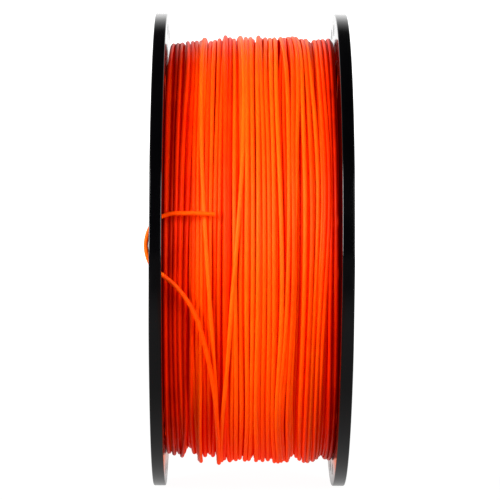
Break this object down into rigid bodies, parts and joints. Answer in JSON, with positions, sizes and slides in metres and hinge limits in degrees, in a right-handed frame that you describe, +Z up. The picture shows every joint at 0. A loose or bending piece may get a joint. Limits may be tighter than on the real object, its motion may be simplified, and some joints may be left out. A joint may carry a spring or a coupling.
{
  "type": "filament spool",
  "caption": "Flanged plastic spool wound full of thin orange filament, its free end threaded through the left flange.",
  "frame": {"origin": "middle of the hub's bore, halfway between the two flanges", "axes": "+X along the bore towards the right flange, +Z up as the spool stands on its rims, -Y towards the holes that hold the filament's free end"},
  "size_m": [0.082, 0.1998, 0.1998],
  "materials": {
    "black_plastic": "moulded, satin to gloss",
    "orange_filament": "extruded, glossy, slightly translucent"
  },
  "bodies": {
    "root": {"flange_left": "black_plastic", "flange_right": "black_plastic", "core_drum": "black_plastic", "filament_winding": "orange_filament", "filament_end": "orange_filament"}
  },
  "joints": []
}
